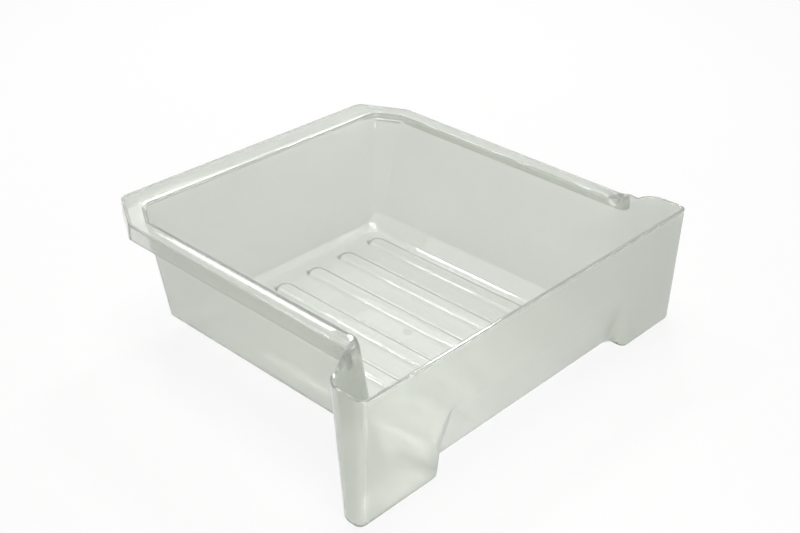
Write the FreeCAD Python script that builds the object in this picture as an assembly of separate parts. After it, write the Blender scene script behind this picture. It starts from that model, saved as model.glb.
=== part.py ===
import FreeCAD, Part
import math
import os
from FreeCAD import Vector

# A clear freezer ice bin, moulded in one shot from one sheet-thin wall.
# All sizes are in millimetres. The bin is drawn with X across it, Y from the front face to the
# back rim and Z up from the feet, and every piece is moved to the middle of the bin when saved.

# Whole bin
wall = 2.25
rim_height = 96.5
depth = 273.0
rim_width = 264.5
floor_lift = 4.45              # air under the tub, the feet stand lower

# Tub, set in from the rim. Its walls lean in towards the floor
side_flange = 9.55
back_flange = 18.2
side_draft = 19.7
back_draft = 12.3
corner_across = 13.2           # flat that cuts each back corner, at the rim
corner_along = 23.3
corner_low_across = 3.0
corner_low_along = 5.5
corner_r = 10.0
corner_low_r = 5.0
side_fillet_r = 10.0           # inside, floor to side walls
back_fillet_r = 4.0            # inside, floor to back wall
rim_edge_r = 1.2

# Front panel with its two wings
wing_reach = 25.05             # how far each wing stands out past the rim
panel_drop = 6.5               # the panel's top is lower than the rim
front_narrowing = 0.4          # less on each side at the bottom
front_lean = 1.6               # the face goes back by this much at its bottom
front_corner_r = 5.2
front_corner_low_r = 5.5
wing_depth = 30.2              # at the outer end, level with the top of the panel
wing_back_lean = 0.144         # how fast the back of a wing goes back on its way up
wing_back_sweep = 0.2          # how fast it goes back on its way to the tub
wing_corner_r = 14.0
wing_corner_low_r = 8.0
wing_join_r = 5.5              # where the back of a wing runs into the tub, at the rim
wing_join_low_r = 28.0
foot_edge_r = 4.0
ramp_length = 11.0             # the back of a wing drops from the rim to the panel's height
ramp_clear = 0.86              # the ramp ends this many corner radii before the end of the wing

# Skirt that hangs from the rim, and the rim's outer corners
skirt_height = 12.0            # rim top to the lower edge of the skirt
rim_corner_across = 19.6
rim_corner_along = 35.4
rim_corner_r = 8.0
rim_flare_r = 5.0              # outer edge of the rim into the back of a wing

# Finger recess between the feet, a little off the middle
recess_left_gap = 2.5          # its left end stops short of the flat floor's edge
recess_right_gap = 6.5         # and its right end runs past it
recess_drop = 44.0             # from the top of the panel
recess_top_r = 30.0
recess_corner_r = 10.0
recess_knee_depth = 10.0
recess_knee_rise = 4.25
recess_knee_r = 8.0
recess_depth = 13.4            # at the underside of the tub

# Floor ribs
rib_count = 6
rib_margin = 13.0              # edge of the flat floor to the middle of the outer rib
rib_width = 16.7
rib_height = 1.4
rib_front_gap = 1.6
rib_back_gap = 9.25
rib_edge_r = 1.1

skin = 0.1                     # the recess tool starts this far outside the face
bite = 0.03                    # and the wing fillets this far inside the walls
far = 400.0

half_rim = rim_width / 2
half_front = half_rim + wing_reach
front_height = rim_height - panel_drop
tub_half = half_rim - side_flange
tub_floor_half = tub_half - side_draft
tub_back = depth - back_flange
tub_floor_back = tub_back - back_draft
floor_top = floor_lift + wall
rim_under = rim_height - wall
skirt_low = rim_height - skirt_height
ramp_end = half_front - wing_corner_r * ramp_clear
ramp_start = ramp_end - ramp_length
floor_half = tub_floor_half - side_fillet_r
floor_end = tub_floor_back - back_fillet_r - wall
recess_left = floor_half - recess_left_gap
recess_right = floor_half + recess_right_gap
recess_height = front_height - recess_drop
recess_knee_height = floor_lift + recess_knee_rise
floor_start = recess_depth + 2 * wall


def mix(low, high, share):
    return low + (high - low) * share


def rounded_wire(points, z):
    """Closed outline at height z. Each point is x, y, corner radius."""
    count = len(points)
    arcs = []
    for i in range(count):
        x, y, r = points[i]
        corner = Vector(x, y, z)
        if r == 0:
            arcs.append((corner, None, corner))
            continue
        back = (Vector(*points[i - 1][:2], z) - corner).normalize()
        ahead = (Vector(*points[(i + 1) % count][:2], z) - corner).normalize()
        half = math.acos(back.dot(ahead)) / 2
        middle = (back + ahead).normalize()
        reach = r / math.tan(half)
        crown = corner + middle * (r / math.sin(half) - r)
        arcs.append((corner + back * reach, crown, corner + ahead * reach))
    edges = []
    for i in range(count):
        start, crown, end = arcs[i]
        if crown is not None:
            edges.append(Part.Arc(start, crown, end).toShape())
        edges.append(Part.makeLine(end, arcs[(i + 1) % count][0]))
    return Part.Wire(edges)


def inset(points, t):
    """The same outline moved inwards by t. Outlines run anticlockwise."""
    count = len(points)
    moved = []
    for i in range(count):
        x, y, r = points[i]
        before = Vector(x - points[i - 1][0], y - points[i - 1][1], 0).normalize()
        after = Vector(points[(i + 1) % count][0] - x, points[(i + 1) % count][1] - y, 0).normalize()
        n1 = Vector(-before.y, before.x, 0)
        n2 = Vector(-after.y, after.x, 0)
        k = t / (1 + n1.dot(n2))
        turn = before.x * after.y - before.y * after.x
        new_r = r - t if turn > 0 else r + t
        moved.append((x + (n1.x + n2.x) * k, y + (n1.y + n2.y) * k, new_r if r else 0))
    return moved


def mirrored(points):
    return [(-x, y, r) for x, y, r in reversed(points)]


def prism(points, low, high, lean=0.0):
    """Straight prism over an outline of x, y corners. lean moves its top back."""
    wire = Part.makePolygon([Vector(x, y, low) for x, y in points + points[:1]])
    return Part.Face(wire).extrude(Vector(0, lean * (high - low), high - low))


def box(x0, x1, y0, y1, z0, z1):
    return Part.makeBox(x1 - x0, y1 - y0, z1 - z0, Vector(x0, y0, z0))


def mirror(shape):
    return shape.mirror(Vector(0, 0, 0), Vector(1, 0, 0))


# Tub

def wall_at(z, low, high, t, r):
    """Distance of a tub wall from the middle at height z, set in by t, with its floor fillet r."""
    slope = (high - low) / (rim_height - floor_lift)
    tilt = math.atan(slope)
    centre_z = floor_lift + t + r
    if z >= centre_z - r * math.sin(tilt):
        return low + slope * (z - floor_lift) - t / math.cos(tilt)
    centre = low + slope * (centre_z - floor_lift) - (t + r) / math.cos(tilt)
    return centre + math.sqrt(max(r ** 2 - (z - centre_z) ** 2, 0))


def rim_rounding(z):
    """How far the inner edge of the rim is rounded back at height z."""
    up = min(max(z - (rim_height - rim_edge_r), 0), rim_edge_r)
    return rim_edge_r - math.sqrt(rim_edge_r ** 2 - up ** 2)


def side_x(z, t):
    x = wall_at(z, tub_floor_half, tub_half, t, side_fillet_r + wall - t)
    return x + (rim_rounding(z) if t else 0)


def back_y(z, t):
    y = wall_at(z, tub_floor_back, tub_back, t, back_fillet_r + wall - t)
    return y + (rim_rounding(z) if t else 0)


def tub_heights(t):
    fillet = side_fillet_r + wall - t
    low = [floor_lift + t + fillet * (1 - math.cos(math.radians(a))) for a in (0, 15, 30, 45, 60, 78)]
    if not t:
        return low + [rim_height]
    edge = [rim_height - rim_edge_r * (1 - math.sin(math.radians(a))) for a in (0, 25, 45, 65, 90)]
    return low + edge + [rim_height + skirt_height]


def tub_corner(z, t):
    """Half width, back and the cut corner of the tub at height z."""
    share = min((z - floor_lift) / (rim_height - floor_lift), 1)
    across = mix(corner_low_across, corner_across, share)
    along = mix(corner_low_along, corner_along, share)
    reach = across * along / math.hypot(across, along)
    scale = (reach + t - t * (across + along) / math.hypot(across, along)) / reach
    return side_x(z, t), back_y(z, t), across * scale, along * scale, mix(corner_low_r, corner_r, share) - t


def tub_body(t):
    rings = []
    for z in tub_heights(t):
        x, y, across, along, r = tub_corner(z, t)
        right = [(x, tub_front, 0), (x, y - along, r), (x - across, y, r)]
        rings.append(rounded_wire(right + mirrored(right), z))
    return Part.makeLoft(rings, True, True)


# Front body: the panel, its wings and its feet

def rear_y(x, z):
    """Back of a wing."""
    return wing_depth - wing_back_lean * (front_height - z) + wing_back_sweep * (half_front - abs(x))


def face_y(z):
    return front_lean * (1 - z / front_height)


def front_ring(z, t, edge, at):
    share = z / front_height
    x = half_front - front_narrowing * (1 - share)
    inner_x = floor_half / 2
    right = [
        (x, face_y(z), mix(front_corner_low_r, front_corner_r, share)),
        (x, rear_y(x, z), mix(wing_corner_low_r, wing_corner_r, share)),
        (inner_x, rear_y(inner_x, z), 0),
    ]
    return rounded_wire(inset(right + mirrored(right), t + edge), at)


def front_body(t, top):
    r = foot_edge_r - t
    rings = []
    for a in (0, 18, 36, 54, 72, 90):
        z = t + r * (1 - math.cos(math.radians(a)))
        rings.append(front_ring(z, t, r * (1 - math.sin(math.radians(a))), z))
    rings.append(front_ring(top, t, 0, top))
    return Part.makeLoft(rings, True, True)


def wing_join(t):
    """Fillet between the back of the right wing and the tub."""
    along_tub = Vector(0, 1, 0)
    along_wing = Vector(1, -wing_back_sweep, 0).normalize()
    half = math.acos(along_tub.dot(along_wing)) / 2
    middle = (along_tub + along_wing).normalize()
    rings = []
    for z in tub_heights(t):
        share = min((z - floor_lift) / (rim_height - floor_lift), 1)
        r = mix(wing_join_low_r, wing_join_r, share) + t
        x = side_x(z, t)
        y = rear_y(x, z) - t * math.hypot(1, wing_back_sweep)
        corner = Vector(x, y, z) - middle * (bite / math.sin(half))
        reach = r / math.tan(half)
        start = corner + along_wing * reach
        end = corner + along_tub * reach
        inside = corner - middle * wall
        edges = [Part.Arc(start, corner + middle * (r / math.sin(half) - r), end).toShape()]
        edges.append(Part.makeLine(end, inside))
        edges.append(Part.makeLine(inside, start))
        rings.append(Part.Wire(edges))
    return Part.makeLoft(rings, True, True)


def recess_tool(t):
    """What the finger recess takes away, grown by t for the inside of the wall."""
    top = front_height
    # x holds the depth and y the height until the outline is stood up
    profile = [
        (-far / 10, -far / 10, 0),
        (recess_depth + (floor_lift + far / 10) * knee_run, -far / 10, 0),
        (recess_knee_depth, recess_knee_height, recess_knee_r),
        (face_y(recess_height) - skin, recess_height, recess_top_r),
        (face_y(top) - skin, top, 0),
        (-far / 10, top, 0),
    ]
    wire = rounded_wire(inset(profile, -t) if t else profile, 0)
    face = Part.Face(wire)
    solid = face.extrude(Vector(0, 0, recess_left + recess_right + 2 * t))
    solid.rotate(Vector(0, 0, 0), Vector(1, 1, 1), 120)
    solid.translate(Vector(-recess_left - t, 0, 0))
    ends = []
    for edge in solid.Edges:
        middle = edge.BoundBox.Center
        at_end = edge.BoundBox.XLength < 0.01
        if at_end and middle.y > -wall and middle.z > -far / 10 + 1 and middle.z < top - 1:
            ends.append(edge)
    solid = solid.makeFillet(recess_corner_r + t, ends)
    under = box(-recess_left - t, recess_right + t, -far / 10, far / 6, -far / 10, floor_lift + t)
    return solid.fuse(under)


knee_run = (recess_depth - recess_knee_depth) / (recess_knee_height - floor_lift)
tub_front = wing_depth * 0.7

# The whole moulding as one shell, before it is cut into its named sections

outside = front_body(0, rim_height).cut(recess_tool(0))
outside = outside.fuse([tub_body(0), wing_join(0), mirror(wing_join(0))])
inside = front_body(wall, rim_height + skirt_height).cut(recess_tool(wall))
inside = inside.fuse([tub_body(wall), wing_join(wall), mirror(wing_join(wall))])
shell = outside.cut(inside)

# Above the panel only the backs of the wings go on up, and they ramp down to the panel's height

def below_rear(x, z, t):
    return rear_y(x, z) - t * math.hypot(1, wing_back_sweep)


in_front = [(-far, -far), (far, -far), (far, below_rear(half_front, front_height, 2 * wall))]
for x in (half_front, tub_half, -tub_half, -half_front):
    in_front.append((x, below_rear(x, front_height, 2 * wall)))
in_front.append((-far, below_rear(half_front, front_height, 2 * wall)))
above_panel = prism(in_front, front_height, far)
drop = (rim_height - front_height) / (ramp_end - ramp_start)
ramp_wire = Part.makePolygon([
    Vector(ramp_end, -far, front_height),
    Vector(far, -far, front_height),
    Vector(far, -far, far),
    Vector(ramp_end - (far - front_height) / drop, -far, far),
    Vector(ramp_end, -far, front_height),
])
above_ramp = Part.Face(ramp_wire).extrude(Vector(0, 2 * far, 0))
above_ramp = above_ramp.common(box(half_rim - wall, far, -far, half_rim, 0, far))
shell = shell.cut([above_panel, above_ramp, mirror(above_ramp)])

# Regions that share the shell out, face against face

low = -wall                    # a little below the feet
high = rim_height + skirt_height
panel_low = recess_height + 5
wing_split = half_front - 2 * front_corner_r
wing_middle = (wing_depth - wall) / 2
face_lean = -front_lean / front_height

x_in, y_in, across_in, along_in, r_in = tub_corner(rim_height - rim_edge_r, wall)
outer_a = (half_rim, depth - rim_corner_along)
inner_a = (x_in, y_in - along_in)
outer_b = (half_rim - rim_corner_across, depth)
inner_b = (x_in - across_in, y_in)


def line_a(x):
    """Cut between a side and a back corner."""
    return outer_a[1] + (x - outer_a[0]) * (outer_a[1] - inner_a[1]) / (outer_a[0] - inner_a[0])


def line_b(y):
    """Cut between the back and a back corner."""
    return outer_b[0] + (y - outer_b[1]) * (outer_b[0] - inner_b[0]) / (outer_b[1] - inner_b[1])


def behind_wing(t, x0, x1, y1, z0, z1):
    """All that lies behind the back of the right wing, set in by t."""
    corners = [(x0, below_rear(x0, z0, t)), (x1, below_rear(x1, z0, t)), (x1, y1), (x0, y1)]
    return prism(corners, z0, z1, wing_back_lean)


def before_wing(t, x0, x1, z0, z1):
    corners = [(x0, -far), (x1, -far), (x1, below_rear(x1, z0, t)), (x0, below_rear(x0, z0, t))]
    return prism(corners, z0, z1, wing_back_lean)


def behind_face(x0, x1, z0, z1):
    y = face_y(z0) + wall
    return prism([(x0, y), (x1, y), (x1, far), (x0, far)], z0, z1, face_lean)


def one_solid(shape):
    solids = [solid for solid in shape.Solids if solid.Volume > 0.5]
    return solids[0] if len(solids) == 1 else Part.makeCompound(solids)


def both(name, shape_of):
    """The same region on the left and on the right."""
    region = shape_of(1)
    pieces[name.replace("SIDE", "right")] = one_solid(shell.common(region))
    region = mirror(shape_of(-1))
    pieces[name.replace("SIDE", "left")] = one_solid(shell.common(region))


def recess_end(side):
    return recess_right if side > 0 else recess_left


def side_wall(side):
    region = behind_wing(0, floor_half, far, far, low, rim_under)
    ahead = [(floor_half, -far), (far, -far), (far, line_a(far)), (floor_half, line_a(floor_half))]
    return region.common(prism(ahead, low, rim_under))


def back_corner(side):
    return prism(corner_outline, low, rim_under)


def wing_rear(side):
    region = behind_wing(wall, floor_half, ramp_end, far, floor_lift, high)
    return region.cut(behind_wing(0, floor_half, ramp_end, far, floor_lift, high))


def wing_end(side):
    return box(ramp_end, far, wing_middle, far, floor_lift, high)


def wing_corner(side):
    return box(wing_split, far, -far, wing_middle, floor_lift, high)


def foot_face(side):
    region = box(recess_end(side) - recess_corner_r, wing_split, -far, far, floor_lift, panel_low)
    return region.cut(behind_face(0, far, low, high))


def foot_side(side):
    x0 = recess_end(side) - recess_corner_r
    x1 = recess_end(side) + wall
    region = before_wing(wall, x0, x1, low, high).common(behind_face(x0, x1, low, high))
    region = region.common(box(x0, x1, -far, far, floor_lift, panel_low))
    return region.cut(floor_region)


def foot_tray(side):
    return box(0, far, -far, far, low, floor_lift)


corner_outline = [
    (floor_half, line_a(floor_half)),
    (far, line_a(far)),
    (far, far),
    (line_b(far), far),
    (line_b(floor_end), floor_end),
    (floor_half, floor_end),
]
back_outline = [(line_b(floor_end), floor_end), (line_b(far), far)]
back_outline += [(-x, y) for x, y in reversed(back_outline)]
floor_region = box(-floor_half, floor_half, floor_start, floor_end, floor_lift, rim_height / 2)

pieces = {}
pieces["floor_pan"] = one_solid(shell.common(floor_region))
pieces["back_wall"] = one_solid(shell.common(prism(back_outline, low, rim_under)))
both("SIDE_wall", side_wall)
both("SIDE_back_corner", back_corner)
both("SIDE_wing_rear", wing_rear)
both("SIDE_wing_end", wing_end)
both("SIDE_wing_corner", wing_corner)
both("SIDE_foot_face", foot_face)
both("SIDE_foot_side", foot_side)
both("SIDE_foot_tray", foot_tray)
panel_region = box(-wing_split, wing_split, -far, wing_middle, panel_low, front_height)
pieces["front_panel"] = one_solid(shell.common(panel_region))
x0 = recess_corner_r - recess_left
x1 = recess_right - recess_corner_r
recess_region = box(x0, x1, -far, floor_start, floor_lift, panel_low)
pieces["finger_recess"] = one_solid(shell.common(recess_region))

# Floor ribs, rounded at the back end and along their top edges

rib_pitch = 2 * (floor_half - rib_margin) / (rib_count - 1)
rib_front = floor_start + rib_front_gap
rib_back = floor_end - rib_back_gap
for i in range(rib_count):
    x = (i - (rib_count - 1) / 2) * rib_pitch
    end_r = rib_width / 2 - bite
    outline = [
        (x - rib_width / 2, rib_front, 0),
        (x + rib_width / 2, rib_front, 0),
        (x + rib_width / 2, rib_back, end_r),
        (x - rib_width / 2, rib_back, end_r),
    ]
    rib = Part.Face(rounded_wire(outline, floor_top)).extrude(Vector(0, 0, rib_height))
    top_edges = [edge for edge in rib.Edges if edge.BoundBox.ZMin > floor_top + rib_height / 2]
    pieces["floor_rib_%d" % (i + 1)] = rib.makeFillet(rib_edge_r, top_edges)

# Rim plate and the skirt that hangs from its edge

flare_y = rear_y(half_rim, skirt_low)
out_x = ramp_end
rim_right = [
    (out_x, tub_front, 0),
    (out_x, rear_y(out_x, skirt_low), 0),
    (half_rim, flare_y, rim_flare_r),
    (outer_a[0], outer_a[1], rim_corner_r),
    (outer_b[0], outer_b[1], rim_corner_r),
]
rim_outline = rim_right + mirrored(rim_right)


def slab(outline, z0, z1):
    return Part.Face(rounded_wire(outline, z0)).extrude(Vector(0, 0, z1 - z0))


plate = slab(rim_outline, rim_under, rim_height).cut(inside)
skirt = slab(rim_outline, skirt_low, rim_under).cut(slab(inset(rim_outline, wall), skirt_low, rim_under))
side_part = behind_wing(0, floor_half, far, far, low, high)
ahead = [(floor_half, -far), (far, -far), (far, line_a(far)), (floor_half, line_a(floor_half))]
side_part = side_part.common(prism(ahead, low, high))
corner_part = prism(corner_outline, low, high)
back_part = prism(back_outline, low, high)
for kind, ring in (("rim", plate), ("skirt", skirt)):
    pieces[kind + "_right"] = one_solid(ring.common(side_part))
    pieces[kind + "_left"] = one_solid(ring.common(mirror(side_part)))
    pieces[kind + "_right_corner"] = one_solid(ring.common(corner_part))
    pieces[kind + "_left_corner"] = one_solid(ring.common(mirror(corner_part)))
    pieces[kind + "_back"] = one_solid(ring.common(back_part))

os.makedirs("parts", exist_ok=True)
for name, piece in pieces.items():
    piece.translate(Vector(0, -depth / 2, 0))
    piece.exportStep("parts/" + name + ".step")
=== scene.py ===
import math

import bmesh
import bpy
import numpy as np
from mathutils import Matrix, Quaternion, Vector


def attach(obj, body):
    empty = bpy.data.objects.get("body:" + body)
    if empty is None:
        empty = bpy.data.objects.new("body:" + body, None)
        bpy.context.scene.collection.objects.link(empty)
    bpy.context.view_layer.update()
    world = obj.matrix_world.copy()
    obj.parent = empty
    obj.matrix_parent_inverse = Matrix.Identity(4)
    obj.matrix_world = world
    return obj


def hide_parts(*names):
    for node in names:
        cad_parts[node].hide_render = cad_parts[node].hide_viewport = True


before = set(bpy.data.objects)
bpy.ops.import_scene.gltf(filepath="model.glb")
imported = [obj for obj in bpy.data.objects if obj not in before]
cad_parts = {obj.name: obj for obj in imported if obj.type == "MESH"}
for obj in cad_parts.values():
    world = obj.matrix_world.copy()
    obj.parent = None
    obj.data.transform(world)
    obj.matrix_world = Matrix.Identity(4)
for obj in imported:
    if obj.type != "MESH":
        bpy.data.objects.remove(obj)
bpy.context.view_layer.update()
print("frame loaded:", len(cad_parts), "nodes")

# Sizes in millimetres, as the CAD has them: X across the bin, Y back from the front face, Z up.
# Where a size has two values, the first holds low down and the second at the top.
shell = {
    "wall": 2.25,
    "depth": 273.0,
    "floorLift": 4.45,  # underside of the floor above the bottoms of the feet
    "edgeR": 0.7,  # small roundings of the free edges
    "creaseAngle": 38,  # degrees; edges sharper than this stay crisp
}
front = {
    "width": 314.6,
    "height": 90.0,
    "narrowing": 0.4,
    "lean": 1.6,
    "cornerR": (5.5, 5.2),
    "mattFade": 9,  # columns of points over which the matt face turns glossy
}
wing = {
    "depth": 30.2,
    "backLean": 0.144,
    "backSweep": 0.2,
    "cornerR": (8.0, 14.0),
    "joinR": (28.0, 5.5),
    "rampStart": 132.5,  # the outer edge of the wing's back rises to the rim between these two
    "rampEnd": 145.2,
    "rampBend": 1.7,
    "innerRise": 0.11,  # the inner edge rises only this share on the way to the tub
    "innerRun": 17.0,
    "footEdgeR": 4.0,
    "footCornerR": 1.2,
}
tub = {
    "width": (206.0, 245.4),
    "back": (242.5, 254.8),
    "cornerAcross": (3.0, 13.2),
    "cornerAlong": (5.5, 23.3),
    "cornerR": (5.0, 10.0),
    "sideBevel": (10.2, 10.7),  # flats between wall and floor: across, up the wall
    "backBevel": (7.4, 4.2),
    "bevelLowR": 8.0,
    "bevelTopR": 3.6,
}
rim = {
    "height": 96.5,
    "width": 264.5,
    "edgeR": 1.2,
    "bendR": 0.9,  # inside corners of rim and skirt
    "skirtHeight": 12.0,
    "skirtMiddle": 88.0,
    "skirtEdgeR": 0.5,
    "cornerAcross": 19.6,
    "cornerAlong": 35.4,
    "cornerR": 8.0,
    "flareR": 5.0,
    "landHeight": 4.4,  # upright land under the rim at the two back corners
    "landReach": 0.8,
    "landStep": (0.2, 0.4),  # it turns into the wall from this far above its lower end to below it
}
recess = {
    "left": 90.5,
    "right": 99.5,
    "height": 46.0,
    "topR": 30.0,
    "cornerR": 10.0,
    "kneeDepth": 10.0,
    "kneeHeight": 8.7,
    "kneeR": 8.0,
    "depth": 13.4,
    "leastDepth": 0.25,  # kept above its top too, so that every outline has the same points
    "lipR": 4.5,
}
# How many points each stretch of an outline gets, from the middle of the face to that of the back,
# and each bend in a section
steps = {
    "recess": 6,
    "recessEnd": 10,
    "lip": 3,
    "face": 5,
    "frontCorner": 12,
    "wingSide": 2,
    "wingCorner": 10,
    "beforeFlare": 5,  # of the wing's back, the part that the rim doesn't reach
    "wingBack": 11,
    "join": 12,
    "side": 9,
    "sideCorner": 6,
    "cornerFlat": 3,
    "backCorner": 8,
    "back": 6,
    "footEdge": 3,
    "footCorner": 4,
    "recessBend": 12,
    "bevelLow": 5,
    "bevelTop": 4,
    "skirtBend": 2,
    "outerEdge": 2,
    "innerEdge": 4,
}
hair = 0.01  # millimetres; a shorter length counts as none
halfFront = front["width"] / 2
halfRim = rim["width"] / 2
floorTop = shell["floorLift"] + shell["wall"]
skirtLow = rim["height"] - rim["skirtHeight"]
rimUnder = rim["height"] - shell["wall"]


def clamp(share):
    return min(max(share, 0), 1)


def mix(pair, share):
    return pair[0] + (pair[1] - pair[0]) * share


def put(p, z):
    return Vector((p.x, p.y, z))


def between(a, b, count):
    return [a.lerp(b, (i + 1) / (count + 1)) for i in range(count)]


def rounded(a, control, b, count):
    points = []
    for i in range(count):
        u = (i + 1) / (count + 1)
        points.append(a * (1 - u) ** 2 + control * (2 * u * (1 - u)) + b * u * u)
    return points


def roundCorner(before, corner, after, r, count):
    a = (before - corner).normalized()
    b = (after - corner).normalized()
    half = math.acos(max(min(a.dot(b), 1), -1)) / 2
    reach = r / math.tan(half)
    centre = corner + (a + b).normalized() * (r / math.sin(half))
    start = corner + a * reach - centre
    end = corner + b * reach - centre
    first = math.atan2(start.y, start.x)
    turn = (math.atan2(end.y, end.x) - first + math.pi) % (2 * math.pi) - math.pi
    angles = [first + turn * i / (count - 1) for i in range(count)]
    return [centre + Vector((math.cos(angle), math.sin(angle))) * r for angle in angles]


def setIn(path, t, side):
    # the path moved sideways by t, to its left for side 1 and to its right for side -1
    ways = [(b - a).normalized() for a, b in zip(path, path[1:])]
    inward = [Vector((-way.y, way.x)) * side for way in ways]
    moved = [path[0] + inward[0] * t]
    for a, b, corner in zip(inward, inward[1:], path[1:]):
        moved.append(corner + (a + b) * (t / (1 + a.dot(b))))
    moved.append(path[-1] + inward[-1] * t)
    return moved


def tubShare(z):
    return clamp((z - shell["floorLift"]) / (rim["height"] - shell["floorLift"]))


# For each kind of tub wall its distance from the middle or the front, and its bevel
tubWalls = {
    "side": ((tub["width"][0] / 2, tub["width"][1] / 2), tub["sideBevel"]),
    "back": (tub["back"], tub["backBevel"]),
}


def tubCurve(wall, t):
    # floor, bevel and wall of the tub as one curve of height and distance, set in by t
    reach, (across, rise) = tubWalls[wall]
    slope = (reach[1] - reach[0]) / (rim["height"] - shell["floorLift"])
    beyond = 200  # both ends of the path lie well past the floor's edge and the rim
    path = [
        Vector((reach[0] - across - beyond, shell["floorLift"])),
        Vector((reach[0] - across, shell["floorLift"])),
        Vector((reach[0] + slope * rise, shell["floorLift"] + rise)),
        Vector((reach[0] + slope * beyond, shell["floorLift"] + beyond)),
    ]
    moved = setIn(path, t, 1)
    curve = roundCorner(moved[0], moved[1], moved[2], tub["bevelLowR"] - t, steps["bevelLow"])
    curve += roundCorner(moved[1], moved[2], moved[3], tub["bevelTopR"] - t, steps["bevelTop"])
    curve.append(moved[3])
    return [p.y for p in curve], [p.x for p in curve]


tubCurves = {}


def tubReach(wall, z, t):
    if (wall, t) not in tubCurves:
        tubCurves[wall, t] = tubCurve(wall, t)
    heights, reaches = tubCurves[wall, t]
    return float(np.interp(z, heights, reaches))


def bevelRows(t):
    # heights at which the sections need a point, from the floor to the top of the bevels
    rows = set()
    for wall in tubWalls:
        heights, reaches = tubCurve(wall, t)
        rows.update(round(z, 3) for z in heights[:-1])
    return sorted(rows)


def recessCurve(t):
    # depth and height of the recess wall, set in by t, with its two soft bends
    knee = Vector((recess["kneeDepth"], recess["kneeHeight"]))
    foot = Vector((recess["depth"], shell["floorLift"]))
    path = [
        knee + (foot - knee) * 3,
        knee,
        Vector((faceY(recess["height"], 0), recess["height"])),
        Vector((faceY(front["height"] * 2, 0), front["height"] * 2)),
    ]
    moved = setIn(path, t, -1)
    curve = [moved[0]]
    curve += roundCorner(moved[0], moved[1], moved[2], recess["kneeR"] - t, steps["recessBend"])
    curve += roundCorner(moved[1], moved[2], moved[3], recess["topR"] - t, steps["recessBend"])
    curve.append(moved[3])
    return [p.y for p in curve], [p.x for p in curve]


recessCurves = {}


def recessY(z, t):
    if t not in recessCurves:
        recessCurves[t] = recessCurve(t)
    heights, depths = recessCurves[t]
    return float(np.interp(z, heights, depths))


def rearY(x, z, t):
    lean = wing["backLean"] * (front["height"] - z)
    sweep = wing["backSweep"]
    return wing["depth"] - lean + sweep * (halfFront - abs(x)) - t * math.hypot(1, sweep)


def faceY(z, t):
    return front["lean"] * (1 - z / front["height"]) + t


marks = {}  # where each stretch of an outline starts


def halfOutline(z, t, end):
    # right half of the outline at height z, set in by t, with the recess ending at x = end
    share = z / front["height"]
    yFace = faceY(z, t)
    yDeep = max(recessY(z, t), yFace)
    r = recess["cornerR"] + t
    xArc = end + t - r
    depth = max(yDeep - yFace, recess["leastDepth"])
    arcTop = yFace + depth
    low = math.asin(max((r - depth) / r, 0))
    arcLength = r * (math.pi / 2 - low)
    length = arcLength + max(depth - r, 0)
    lip = min(recess["lipR"], 0.45 * length)  # never as much as half of the recess's end

    def onEnd(s):
        if s > arcLength:
            return Vector((xArc + r, min(arcTop - r - (s - arcLength), yDeep)))
        angle = math.pi / 2 - s / r
        return Vector((xArc + r * math.cos(angle), min(arcTop - r + r * math.sin(angle), yDeep)))

    points = [Vector((xArc * i / steps["recess"], yDeep)) for i in range(steps["recess"])]
    last = steps["recessEnd"] - 1
    points += [onEnd((length - lip) * i / last) for i in range(last + 1)]
    marks["lip"] = len(points) - 1
    corner = Vector((onEnd(length).x, yFace))
    start, stop = points[-1], corner + Vector((lip, 0))
    points += rounded(start, corner, stop, steps["lip"]) + [stop]

    x = halfFront - front["narrowing"] * (1 - share) - t
    fore = Vector((x, yFace))
    rear = Vector((x, rearY(x, z, t)))
    xTub = tubReach("side", z, t)
    join = Vector((xTub, rearY(xTub, z, t)))
    tubDeep = tubReach("back", z, t)
    across, along = mix(tub["cornerAcross"], tubShare(z)), mix(tub["cornerAlong"], tubShare(z))
    span = math.hypot(across, along)
    reach = across * along / span
    scale = (reach + t - t * (across + along) / span) / reach
    cornerA = Vector((xTub, tubDeep - along * scale))
    cornerB = Vector((xTub - across * scale, tubDeep))
    middle = Vector((0, tubDeep))
    cornerR = mix(tub["cornerR"], tubShare(z)) - t

    arc = roundCorner(points[-1], fore, rear, mix(front["cornerR"], share) - t, steps["frontCorner"])
    points += between(points[-1], arc[0], steps["face"]) + arc
    marks["mattEnd"] = len(points) - 2  # near the end of the front corner
    arc = roundCorner(fore, rear, join, mix(wing["cornerR"], share) - t, steps["wingCorner"])
    points += between(points[-1], arc[0], steps["wingSide"]) + arc
    marks["wingBack"] = len(points)
    arc = roundCorner(rear, join, cornerA, mix(wing["joinR"], tubShare(z)) + t, steps["join"])
    points += between(points[-1], arc[0], steps["wingBack"])
    marks["join"] = len(points)
    points += arc
    marks["side"] = len(points)
    arc = roundCorner(join, cornerA, cornerB, cornerR, steps["sideCorner"])
    points += between(points[-1], arc[0], steps["side"])
    marks["sideCorner"] = len(points)
    points += arc
    arc = roundCorner(cornerA, cornerB, middle, cornerR, steps["backCorner"])
    points += between(points[-1], arc[0], steps["cornerFlat"]) + arc
    marks["back"] = len(points)
    points += between(points[-1], middle, steps["back"]) + [middle]
    return points


outlines = {}


def spot(j, z, t, end):
    # point j of the outline at height z, set in by t
    key = (round(z, 4), round(t, 4), end)
    if key not in outlines:
        outlines[key] = halfOutline(z, t, end)
    return outlines[key][j]


columns = len(halfOutline(front["height"] / 2, 0, recess["right"]))
flareColumn = marks["wingBack"] + steps["beforeFlare"]


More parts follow.
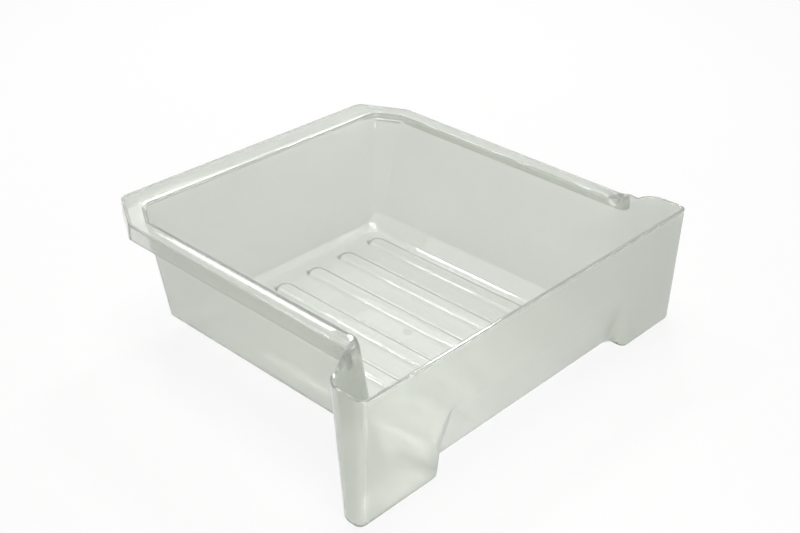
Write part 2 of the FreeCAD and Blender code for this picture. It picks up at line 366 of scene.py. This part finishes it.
def rimOutline(t):
    # outer edge of the rim, set in by t, from the back of a wing to the middle of the back
    out = wing["rampEnd"]
    path = [
        Vector((out, rearY(out, skirtLow, 0))),
        Vector((halfRim, rearY(halfRim, skirtLow, 0))),
        Vector((halfRim, shell["depth"] - rim["cornerAlong"])),
        Vector((halfRim - rim["cornerAcross"], shell["depth"])),
        Vector((0, shell["depth"])),
    ]
    moved = setIn(path, t, 1)
    points = roundCorner(moved[0], moved[1], moved[2], rim["flareR"] + t, marks["side"] - flareColumn)
    arc = roundCorner(moved[1], moved[2], moved[3], rim["cornerR"] - t, steps["sideCorner"])
    points += between(points[-1], arc[0], steps["side"]) + arc
    arc = roundCorner(moved[2], moved[3], moved[4], rim["cornerR"] - t, steps["backCorner"])
    points += between(points[-1], arc[0], steps["cornerFlat"]) + arc
    points += between(points[-1], moved[4], steps["back"]) + [moved[4]]
    return points


rimOut, rimIn = rimOutline(0), rimOutline(shell["wall"])


def outerEdge(x):
    # height of the edge that ramps from the wing up to the rim
    share = clamp((abs(x) - wing["rampStart"]) / (wing["rampEnd"] - wing["rampStart"]))
    return rim["height"] - (rim["height"] - front["height"]) * share ** wing["rampBend"]


def innerEdge(j, x):
    # the inner edge stays low along the back of the wing and rises to the rim behind the join
    start = wing["innerRise"] * clamp((wing["rampEnd"] - abs(x)) / wing["innerRun"])
    turned = 4  # columns of the join before the edge starts to rise
    rise = clamp((j - marks["join"] - turned) / (steps["join"] - 1 - turned))
    rise = start + (1 - start) * rise * rise * (3 - 2 * rise)
    return front["height"] + (rim["height"] - front["height"]) * rise


def landed(j, z, end):
    # inner face just under the rim, which stands back a little at the flat of a back corner
    sideShare = (j - marks["sideCorner"]) / (steps["sideCorner"] - 1)
    backShare = (marks["back"] - 1 - j) / (steps["backCorner"] - 1)
    weight = clamp(min(sideShare, backShare))
    flat = math.hypot(tub["cornerAcross"][1], tub["cornerAlong"][1])
    way = Vector((tub["cornerAlong"][1], tub["cornerAcross"][1])) / flat
    return spot(j, z, shell["wall"], end) + way * (rim["landReach"] * weight)


outerFillet = bevelRows(0)
innerFillet = bevelRows(shell["wall"])
wallHeights = [18.5, 23, 28, 33, 37.5, 41, 43.5, 46, 48.5, 51, 56, 62, 70, 78, 84]
topShares = (0.4, 0.75, 1)  # of the way from the last of these heights to the edge
outerRows = len(outerFillet + wallHeights) + len(topShares)
skirtRows = 2 * steps["skirtBend"] + 9  # points from the wall out under the rim and around the skirt


def topRows(z):
    # the last heights of a wall, up to z
    return [wallHeights[-1] + (z - wallHeights[-1]) * share for share in topShares]


def hang(j, p, z):
    # a point of rim or skirt, which never sinks into the back of the wing
    y = max(p.y, rearY(p.x, z, 0)) if j <= marks["side"] else p.y
    return Vector((p.x, y, z))


def skirtSection(j, start, foot, zCrown):
    # from the wall out along the rim's underside, down the inside of the skirt and up its outside
    edgeOut, edgeIn = rimOut[j - flareColumn], rimIn[j - flareColumn]
    inner = hang(j, edgeIn, rimUnder)
    width = (inner - foot).length
    way = (inner - foot).normalized() if width > hair else Vector((0, 1, 0))
    bend = min(rim["bendR"], width * 0.4)  # the two bends never meet
    rows = rounded(start, foot, foot + way * bend, steps["skirtBend"])
    rows += [foot + way * bend, inner - way * bend]
    under = hang(j, edgeIn, rimUnder - rim["bendR"])
    rows += rounded(rows[-1], inner, under, steps["skirtBend"]) + [under]
    low = skirtLow + rim["skirtEdgeR"]
    a, b = hang(j, edgeIn, skirtLow), hang(j, edgeOut, skirtLow)
    if (a - b).length > hair:
        a, b = a.lerp(b, 0.25), a.lerp(b, 0.75)  # flat of the skirt's lower edge
    rows += [hang(j, edgeIn, low), a, b, hang(j, edgeOut, low)]
    rows += [hang(j, edgeOut, rim["skirtMiddle"]), hang(j, edgeOut, zCrown - shell["edgeR"])]
    return rows


def section(j, end):
    # one cut through the moulding: up the outside, over the edge or the rim and down the inside
    onRim = j >= flareColumn
    e, wall = shell["edgeR"], shell["wall"]
    zOut = zIn = front["height"]
    if j >= marks["wingBack"] - 1:
        x = spot(j, front["height"], 0, end).x
        zOut, zIn = outerEdge(x), innerEdge(j, x)
    zLast = rimUnder - rim["bendR"] if onRim else zOut - e
    cut = [put(spot(j, z, 0, end), z) for z in outerFillet + wallHeights + topRows(zLast)]
    if onRim:
        edgeOut = rimOut[j - flareColumn]
        zOut = outerEdge(edgeOut.x)
        cut += skirtSection(j, cut[-1], put(spot(j, rimUnder, 0, end), rimUnder), zOut)
        outTop, inTop = hang(j, edgeOut, zOut), put(landed(j, zIn, end), zIn)
        width = (outTop - inTop).length
        way = (outTop - inTop).normalized()
        a = outTop - way * min(e, width * 0.3)  # smaller where the rim is narrow
        b = inTop + way * min(rim["edgeR"], width * 0.5)
        zStop = min(rim["height"] - rim["edgeR"], zIn - e)
        stop = put(landed(j, zStop, end), zStop)
    else:
        cut += [cut[-1].copy() for i in range(skirtRows)]  # no skirt here: its rows fall together
        outTop, inTop = put(spot(j, zOut, 0, end), zOut), put(spot(j, zIn, wall, end), zIn)
        a = outTop.lerp(inTop, e / wall)
        b = outTop.lerp(inTop, 1 - e / wall)
        zStop = zIn - e
        stop = put(spot(j, zStop, wall, end), zStop)
    cut += rounded(cut[-1], outTop, a, steps["outerEdge"]) + [a, b]
    cut += rounded(b, inTop, stop, steps["innerEdge"])
    low = rim["height"] - rim["landHeight"]
    if onRim and zStop > low + 1:  # well above the lower end of the land
        above, below = low + rim["landStep"][0], low - rim["landStep"][1]
        cut += [put(landed(j, z, end), z) for z in (zStop, above)]
        cut.append(put(spot(j, below, wall, end), below))
    else:
        cut += [put(spot(j, z, wall, end), z) for z in reversed(topRows(zStop))]
    cut += [put(spot(j, z, wall, end), z) for z in reversed(innerFillet + wallHeights)]
    return cut


vertices = []
faces = []
frosted = {}  # how matt each point of the outer face is
floorEdges = {}
middleColumns = {}  # both halves share their points in the middle of the face and of the back


def addVertex(p, side):
    vertices.append((p.x * side, p.y, p.z))
    return len(vertices) - 1


def addFace(corners, side):
    faces.append(tuple(corners) if side > 0 else tuple(reversed(corners)))


def stackLoops(loops, side):
    # faces from each loop of points to the next one, and over the last
    for lower, upper in zip(loops, loops[1:]):
        for k in range(len(lower)):
            n = (k + 1) % len(lower)
            addFace((lower[k], lower[n], upper[n], upper[k]), side)
    addFace(loops[-1], side)


def mattShare(j):
    # 1 on the face of the front, falling to 0 around its corner
    return clamp((marks["mattEnd"] - j) / front["mattFade"])


def footRings(t, top, end):
    # outline of a foot below the level of the floor, down to its rounded bottom edge
    r = wing["footEdgeR"] - t
    levels = [(top, t)]
    for angle in (90, 72, 54, 36, 18, 0):
        turn = math.radians(angle)
        levels.append((t + r * (1 - math.cos(turn)), t + r * (1 - math.sin(turn))))
    rings = []
    for z, inset in levels:
        ring = halfOutline(z, inset, end)[marks["lip"] : marks["join"] + 1]
        corner = Vector((end + inset, rearY(end + inset, z, inset)))
        arc = roundCorner(ring[-1], corner, ring[0], wing["footCornerR"], steps["footCorner"])
        ring += between(ring[-1], arc[0], steps["footEdge"]) + arc
        ring += between(arc[-1], ring[0], steps["footEdge"])
        rings.append([put(p, z) for p in ring])
    return rings


def buildHalf(side, end):
    # walls, front, rim and skirt of one half, then its foot, outside and inside
    grid = []
    for j in range(columns):
        cut = section(j, end)
        grid.append(middleColumns[j] if j in middleColumns else [addVertex(p, side) for p in cut])
        for i in grid[-1][:outerRows]:
            frosted[i] = mattShare(j)
    middleColumns[0], middleColumns[columns - 1] = grid[0], grid[-1]
    rows = len(grid[0])
    for near, far in zip(grid, grid[1:]):
        for k in range(rows - 1):
            addFace((near[k], far[k], far[k + 1], near[k + 1]), side)
    shared = marks["join"] + 1 - marks["lip"]
    for t, top, row, way in ((0, shell["floorLift"], 0, 1), (shell["wall"], floorTop, rows - 1, -1)):
        loops = []
        for ring in footRings(t, top, end):
            loop = [addVertex(p, side) for p in ring]
            loops.append(loop)
            if not t:
                for i in range(shared):
                    frosted[loop[i]] = mattShare(marks["lip"] + i)
        loops[0][:shared] = [grid[j][row] for j in range(marks["lip"], marks["join"] + 1)]
        stackLoops(loops, -side * way)
        floorEdge = [grid[j][row] for j in range(marks["lip"] + 1)]
        floorEdge += list(reversed(loops[0][shared:]))
        floorEdge += [grid[j][row] for j in range(marks["join"], columns)]
        floorEdges.setdefault(t, {})[side] = floorEdge


buildHalf(1, recess["right"])
buildHalf(-1, recess["left"])
print("moulding outline:", columns, "columns,", len(vertices), "points")

# Pads on the floor and the shallow hollow under each, as pairs of inset and rise
ribs = {
    "count": 6,
    "pitch": 32.0,
    "width": 16.7,
    "front": 19.5,
    "back": 227.0,
    "frontR": 2.0,
    "leastR": 0.3,
    "gap": 0.02,  # between the two arcs of the round back end
    "frontPoints": 4,
    "backPoints": 12,
    "pad": ((0, 0), (0.35, 0.45), (0.8, 0.9), (1.4, 1.22), (2.3, 1.4)),
    "hollow": ((2.2, 0), (2.5, 0.5), (3.0, 0.95), (3.6, 1.28), (4.4, 1.4)),
}
# Mark of the mould's gate on the floor: a low ring with a nub in it, as pairs of radius and rise
gate = {
    "place": (3.3, 115.6),
    "rings": ((3.1, 0), (2.9, 0.25), (2.3, 0.3), (2.0, 0.05), (0.9, 0.05), (0.6, 0.35)),
    "points": 24,
}


def ribOutline(middle, inset):
    r = ribs["width"] / 2
    x0, x1 = middle - r + inset, middle + r - inset
    y0, y1 = ribs["front"] + inset, ribs["back"] - inset
    corners = [Vector((x0, y0)), Vector((x1, y0)), Vector((x1, y1)), Vector((x0, y1))]
    frontBend = (max(ribs["frontR"] - inset, ribs["leastR"]), ribs["frontPoints"])
    backBend = (r - inset - ribs["gap"], ribs["backPoints"])
    points = []
    for i, bend in enumerate((frontBend, frontBend, backBend, backBend)):
        points += roundCorner(corners[i - 1], corners[i], corners[(i + 1) % 4], *bend)
    return points


def ribLoop(middle, profile, z, side):
    # builds a pad or a hollow and returns the loop where it meets the flat of the floor
    loops = []
    for inset, rise in profile:
        loops.append([addVertex(put(p, z + rise), 1) for p in ribOutline(middle, inset)])
    stackLoops(loops, side)
    return loops[0]


topHoles, underHoles = [], []  # loops that the flat of the floor leaves open
for i in range(ribs["count"]):
    middle = (i - (ribs["count"] - 1) / 2) * ribs["pitch"]
    topHoles.append(ribLoop(middle, ribs["pad"], floorTop, 1))
    underHoles.append(ribLoop(middle, ribs["hollow"], shell["floorLift"], -1))

gateX, gateY = gate["place"]
angles = [2 * math.pi * k / gate["points"] for k in range(gate["points"])]
gateLoops = []
for radius, rise in gate["rings"]:
    ring = [Vector((gateX + radius * math.cos(a), gateY + radius * math.sin(a))) for a in angles]
    gateLoops.append([addVertex(put(p, floorTop + rise), 1) for p in ring])
stackLoops(gateLoops, 1)
topHoles.append(gateLoops[0])
print("ribs and gate mark:", len(vertices), "points,", len(faces), "faces")

# Everything into one mesh in metres, with the part's own origin
tiny = 1e-6  # metres; points within one or two of it are the same
whole = bmesh.new()
frostLayer = whole.verts.layers.float.new("frost")
points = [whole.verts.new((x / 1000, (y - shell["depth"] / 2) / 1000, z / 1000)) for x, y, z in vertices]
for i, value in frosted.items():
    points[i][frostLayer] = value
for corners in faces:
    unique = []
    for c in corners:
        if not unique or (points[c].co - points[unique[-1]].co).length > tiny:
            unique.append(c)
    if (points[unique[0]].co - points[unique[-1]].co).length < tiny:
        unique.pop()
    if len(unique) > 2:
        whole.faces.new([points[c] for c in unique])


def fillFlat(loops, up):
    # flat of the floor between the outer loop and the holes in it
    edges = []
    for loop in loops:
        for a, b in zip(loop, loop[1:] + loop[:1]):
            if a != b and (points[a].co - points[b].co).length > tiny / 10:
                edge = whole.edges.get((points[a], points[b]))
                edges.append(edge or whole.edges.new((points[a], points[b])))
    filled = bmesh.ops.triangle_fill(whole, edges=edges, use_beauty=True)
    for face in filled["geom"]:
        if isinstance(face, bmesh.types.BMFace):
            face.normal_update()
            if face.normal.z * up < 0:
                face.normal_flip()


for t, up, holes in ((0, -1, underHoles), (shell["wall"], 1, topHoles)):
    right, left = floorEdges[t][1], floorEdges[t][-1]
    fillFlat([right + list(reversed(left[1:-1]))] + holes, up)
bmesh.ops.remove_doubles(whole, verts=whole.verts, dist=2 * tiny)
bmesh.ops.dissolve_degenerate(whole, dist=tiny, edges=whole.edges)
whole.normal_update()
openEdges = [edge for edge in whole.edges if not edge.is_manifold]
print("mesh:", len(whole.faces), "faces,", len(openEdges), "open edges")
mesh = bpy.data.meshes.new("moulding")
whole.to_mesh(mesh)
whole.free()
mesh.shade_smooth()
mesh.set_sharp_from_angle(angle=math.radians(shell["creaseAngle"]))
moulding = bpy.data.objects.new("moulding", mesh)
bpy.context.collection.objects.link(moulding)
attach(moulding, "root")
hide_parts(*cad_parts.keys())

# Camera at the photograph's viewing angle
camera = {
    "place": (-0.53419, -0.50995, 0.48645),
    "ahead": (0.63291, 0.58518, -0.50694),
    "roll": math.radians(1.176),
    "lens": 56.61,
    "sensor": 36,
}
cameraData = bpy.data.cameras.new("camera")
cameraData.lens = camera["lens"]
cameraData.sensor_width = camera["sensor"]
cameraObject = bpy.data.objects.new("camera", cameraData)
cameraObject.rotation_mode = "QUATERNION"
aim = Vector(camera["ahead"]).to_track_quat("-Z", "Y")
cameraObject.rotation_quaternion = aim @ Quaternion((0, 0, 1), camera["roll"])
cameraObject.location = camera["place"]
bpy.context.collection.objects.link(cameraObject)
bpy.context.scene.camera = cameraObject
bpy.context.scene.view_settings.view_transform = "Standard"
print("camera placed")


def linear(hexColour):
    # sRGB hex to the linear values that a shader takes
    values = [int(hexColour[i : i + 2], 16) / 255 for i in (1, 3, 5)]
    return [v / 12.92 if v <= 0.04045 else ((v + 0.055) / 1.055) ** 2.4 for v in values] + [1]


def addNode(tree, kind, settings=None, values=None, links=None):
    node = tree.nodes.new(kind)
    for name, value in (settings or {}).items():
        setattr(node, name, value)
    for name, value in (values or {}).items():
        node.inputs[name].default_value = value
    for name, source in (links or {}).items():
        tree.links.new(source, node.inputs[name])
    return node


# Natural polypropylene, injection moulded, with the front face of the mould left matt.
# To the eye: a milky, slightly green-grey wall that shows what is behind it as soft shapes,
# darker where one looks along it, with crisp light lines at the edges.
plastic = {
    "colour": "#ECEFE9",
    "roughness": 0.07,
    "frostRoughness": 0.28,  # of the matt front
    "ior": 1.49,
    "seeThrough": 0.74,
    "cloudSize": 35.0,  # millimetres, as are the other sizes and depths
    "cloudRoughness": 0.06,
    "waveSize": 14.0,
    "waveDepth": 0.025,
    "grainSize": 0.8,  # the mould's real grain is near 0.1 and wouldn't show
    "grainDepth": 0.0015,
    "coat": 0.3,
    "coatRoughness": 0.05,
    "tint": "#B7C6B1",
    "tintDensity": 8.0,  # per metre of plastic
}


def naturalPolypropylene():
    material = bpy.data.materials.new("naturalPolypropyleneMoulded")
    material.use_nodes = True
    tree = material.node_tree
    tree.nodes.clear()
    out = addNode(tree, "ShaderNodeOutputMaterial")
    place = addNode(tree, "ShaderNodeTexCoord").outputs["Object"]
    frost = addNode(tree, "ShaderNodeAttribute", {"attribute_name": "frost"}).outputs["Fac"]
    # clouds of slightly duller skin, a few centimetres wide
    clouds = addNode(
        tree,
        "ShaderNodeTexNoise",
        values={"Scale": 1000 / plastic["cloudSize"], "Detail": 3.0, "Roughness": 0.55},
        links={"Vector": place},
    )
    dull = addNode(
        tree,
        "ShaderNodeMapRange",
        values={
            "From Min": 0.35,
            "From Max": 0.7,
            "To Min": plastic["roughness"],
            "To Max": plastic["roughness"] + plastic["cloudRoughness"],
        },
        links={"Value": clouds.outputs["Fac"]},
    )
    roughness = addNode(
        tree,
        "ShaderNodeMapRange",
        values={"To Max": plastic["frostRoughness"]},
        links={"Value": frost, "To Min": dull.outputs[0]},
    )
    # faint waves that the melt leaves in the skin, and the fine grain of the mould
    waves = addNode(
        tree,
        "ShaderNodeTexNoise",
        values={"Scale": 1000 / plastic["waveSize"], "Detail": 2.0, "Roughness": 0.5},
        links={"Vector": place},
    )
    grain = addNode(
        tree,
        "ShaderNodeTexNoise",
        values={"Scale": 1000 / plastic["grainSize"], "Detail": 2.0, "Roughness": 0.6},
        links={"Vector": place},
    )
    soft = addNode(
        tree,
        "ShaderNodeBump",
        values={"Strength": 1.0, "Distance": plastic["waveDepth"] / 1000},
        links={"Height": waves.outputs["Fac"]},
    )
    fine = addNode(
        tree,
        "ShaderNodeBump",
        values={"Strength": 1.0, "Distance": plastic["grainDepth"] / 1000},
        links={"Height": grain.outputs["Fac"], "Normal": soft.outputs[0]},
    )
    shader = addNode(
        tree,
        "ShaderNodeBsdfPrincipled",
        values={
            "Base Color": linear(plastic["colour"]),
            "IOR": plastic["ior"],
            "Transmission Weight": plastic["seeThrough"],
            "Coat Weight": plastic["coat"],
            "Coat Roughness": plastic["coatRoughness"],
        },
        links={"Roughness": roughness.outputs[0], "Normal": fine.outputs[0]},
    )
    depth = addNode(
        tree,
        "ShaderNodeVolumeAbsorption",
        values={"Color": linear(plastic["tint"]), "Density": plastic["tintDensity"]},
    )
    tree.links.new(shader.outputs["BSDF"], out.inputs["Surface"])
    tree.links.new(depth.outputs[0], out.inputs["Volume"])
    return material


mesh.materials.append(naturalPolypropylene())
print("material made")

# Plain pale floor and studio light, in metres and watts
studio = {
    "floorColour": "#F4F4F2",
    "floorHalf": 6,
    "floorDrop": 0.0004,  # keeps the feet just clear of the floor
    "floorShade": 0.12,  # share of its own shading that the white floor shows
    "around": 0.1,
    "aim": (0, 0, 0.05),  # where the lamps look, apart from one that faces straight down
    "lamps": {
        "topSoftbox": {"place": (0.0, 0.0, 1.3), "size": (0.6, 0.6), "watts": 7.5},
        "farSoftbox": {"place": (0.08, 0.7, 1.08), "size": (0.16, 0.18), "watts": 2.5},
        "rightSoftbox": {"place": (0.78, 0.45, 0.94), "size": (0.14, 0.14), "watts": 5},
        "rimSoftbox": {"place": (0.39, 0.6, 0.6), "size": (0.08, 0.4), "watts": 0.8, "down": True},
        "sideSoftbox": {"place": (-0.3, -0.45, 0.15), "size": (0.2, 0.2), "watts": 0.9},
    },
}


def straightLook(tree):
    # 1 for what the eye sees directly, in the plastic's shine or through it, 0 for light itself
    path = addNode(tree, "ShaderNodeLightPath")
    seen = path.outputs["Is Camera Ray"]
    for ray in ("Is Glossy Ray", "Is Transmission Ray"):
        either = {0: seen, 1: path.outputs[ray]}
        seen = addNode(tree, "ShaderNodeMath", {"operation": "MAXIMUM"}, links=either).outputs[0]
    return seen


half = studio["floorHalf"]
floorMesh = bpy.data.meshes.new("floor")
corners = [(-half, -half, 0), (half, -half, 0), (half, half, 0), (-half, half, 0)]
floorMesh.from_pydata(corners, [], [(0, 1, 2, 3)])
floor = bpy.data.objects.new("floor", floorMesh)
floor.location.z = -studio["floorDrop"]
bpy.context.collection.objects.link(floor)
paleFloor = bpy.data.materials.new("paleFloor")
paleFloor.use_nodes = True
tree = paleFloor.node_tree
tree.nodes.clear()
out = addNode(tree, "ShaderNodeOutputMaterial")
paint = addNode(tree, "ShaderNodeBsdfDiffuse", values={"Color": linear(studio["floorColour"])})
white = addNode(tree, "ShaderNodeEmission", values={"Color": (1, 1, 1, 1), "Strength": 1.0})
share = addNode(
    tree,
    "ShaderNodeMath",
    {"operation": "MULTIPLY"},
    values={1: 1 - studio["floorShade"]},
    links={0: straightLook(tree)},
)
surface = {0: share.outputs[0], 1: paint.outputs[0], 2: white.outputs[0]}
both = addNode(tree, "ShaderNodeMixShader", links=surface)
tree.links.new(both.outputs[0], out.inputs["Surface"])
floorMesh.materials.append(paleFloor)

world = bpy.data.worlds.new("world")
bpy.context.scene.world = world
world.use_nodes = True
tree = world.node_tree
tree.nodes.clear()
out = addNode(tree, "ShaderNodeOutputWorld")
lit = addNode(tree, "ShaderNodeBackground", values={"Color": (1, 1, 1, 1), "Strength": studio["around"]})
shown = addNode(tree, "ShaderNodeBackground", values={"Color": (1, 1, 1, 1), "Strength": 1.0})
surface = {0: straightLook(tree), 1: lit.outputs[0], 2: shown.outputs[0]}
both = addNode(tree, "ShaderNodeMixShader", links=surface)
tree.links.new(both.outputs[0], out.inputs["Surface"])

for name, softbox in studio["lamps"].items():
    lamp = bpy.data.lights.new(name, "AREA")
    lamp.shape = "RECTANGLE"
    lamp.size, lamp.size_y = softbox["size"]
    lamp.energy = softbox["watts"]
    lampObject = bpy.data.objects.new(name, lamp)
    lampObject.location = softbox["place"]
    if not softbox.get("down"):
        way = Vector(studio["aim"]) - Vector(softbox["place"])
        lampObject.rotation_euler = way.to_track_quat("-Z", "Y").to_euler()
    bpy.context.collection.objects.link(lampObject)
print("floor and", len(studio["lamps"]), "lamps placed")
